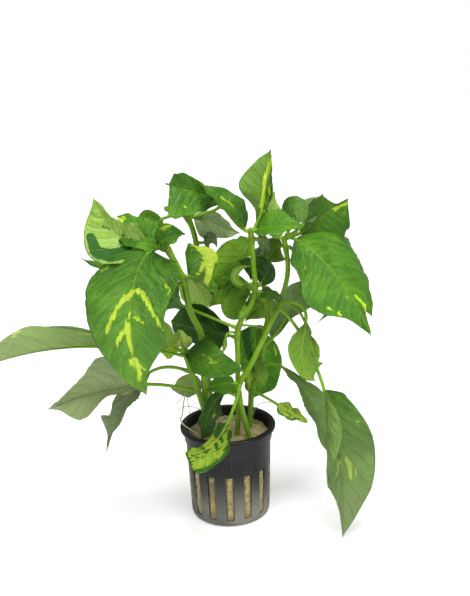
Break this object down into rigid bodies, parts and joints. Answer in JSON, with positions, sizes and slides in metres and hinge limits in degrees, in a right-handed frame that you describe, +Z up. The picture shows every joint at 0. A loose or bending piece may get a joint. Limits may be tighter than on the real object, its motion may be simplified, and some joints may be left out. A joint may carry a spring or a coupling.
{
  "type": "potted hygrophila",
  "caption": "Bushy marsh plant: upright stems with broad, folded, variegated leaves, rooted in rockwool in a slotted round net pot.",
  "frame": {"origin": "middle of the pot's foot, on the plane it stands on", "axes": "+Z up the pot's axis; -Y towards the side seen in the picture; +X to that viewer's right"},
  "size_m": [0.2216, 0.0938, 0.2091],
  "materials": {
    "pot": "satin",
    "rockwool": "matte",
    "stem": "satin",
    "root": "matte",
    "leaf": "satin",
    "leaf_dark": "satin",
    "leaf_pale": "satin"
  },
  "bodies": {
    "root": {"leaf_apex_dark": "leaf_dark", "leaf_apex_left": "leaf", "leaf_behind_hero": "leaf", "leaf_bridge": "leaf", "leaf_crown": "leaf_pale", "leaf_cupped": "leaf", "leaf_cupped_right": "leaf_pale", "leaf_dark_in_pot": "leaf_dark", "leaf_dark_middle": "leaf_dark", "leaf_dark_right": "leaf_dark", "leaf_far_left": "leaf", "leaf_front_middle": "leaf_dark", "leaf_front_small": "leaf", "leaf_grey_back": "leaf_pale", "leaf_grey_curled": "leaf", "leaf_hooked": "leaf_dark", "leaf_inner_right": "leaf", "leaf_left_hero": "leaf", "leaf_long_left": "leaf", "leaf_low_left": "leaf", "leaf_low_left_back": "leaf", "leaf_node_right": "leaf", "leaf_olive_back": "leaf_pale", "leaf_olive_middle": "leaf", "leaf_pale_back_left": "leaf_pale", "leaf_pale_left": "leaf_pale", "leaf_pale_right_back": "leaf_pale", "leaf_pale_top_back": "leaf_pale", "leaf_pale_yellow": "leaf_pale", "leaf_pale_young": "leaf_pale", "leaf_right_behind": "leaf", "leaf_right_hanging": "leaf", "leaf_right_hero": "leaf", "leaf_round_back": "leaf_dark", "leaf_second_left": "leaf", "leaf_small_back": "leaf", "leaf_small_right": "leaf_pale", "leaf_third_left": "leaf", "leaf_tip_under_hero": "leaf", "leaf_upper_right": "leaf_dark", "leaf_variegated": "leaf_pale", "leaf_yellow": "leaf_pale", "leaf_yellow_cluster": "leaf_pale", "leaf_yellow_small": "leaf_pale", "pot": "pot", "rockwool": "rockwool", "root_hanging_left": "root", "root_rim_left": "root", "stem_back_left": "stem", "stem_centre": "stem", "stem_left": "stem", "stem_left_centre": "stem", "stem_right_back": "stem", "stem_right_centre": "stem"}
  },
  "joints": []
}
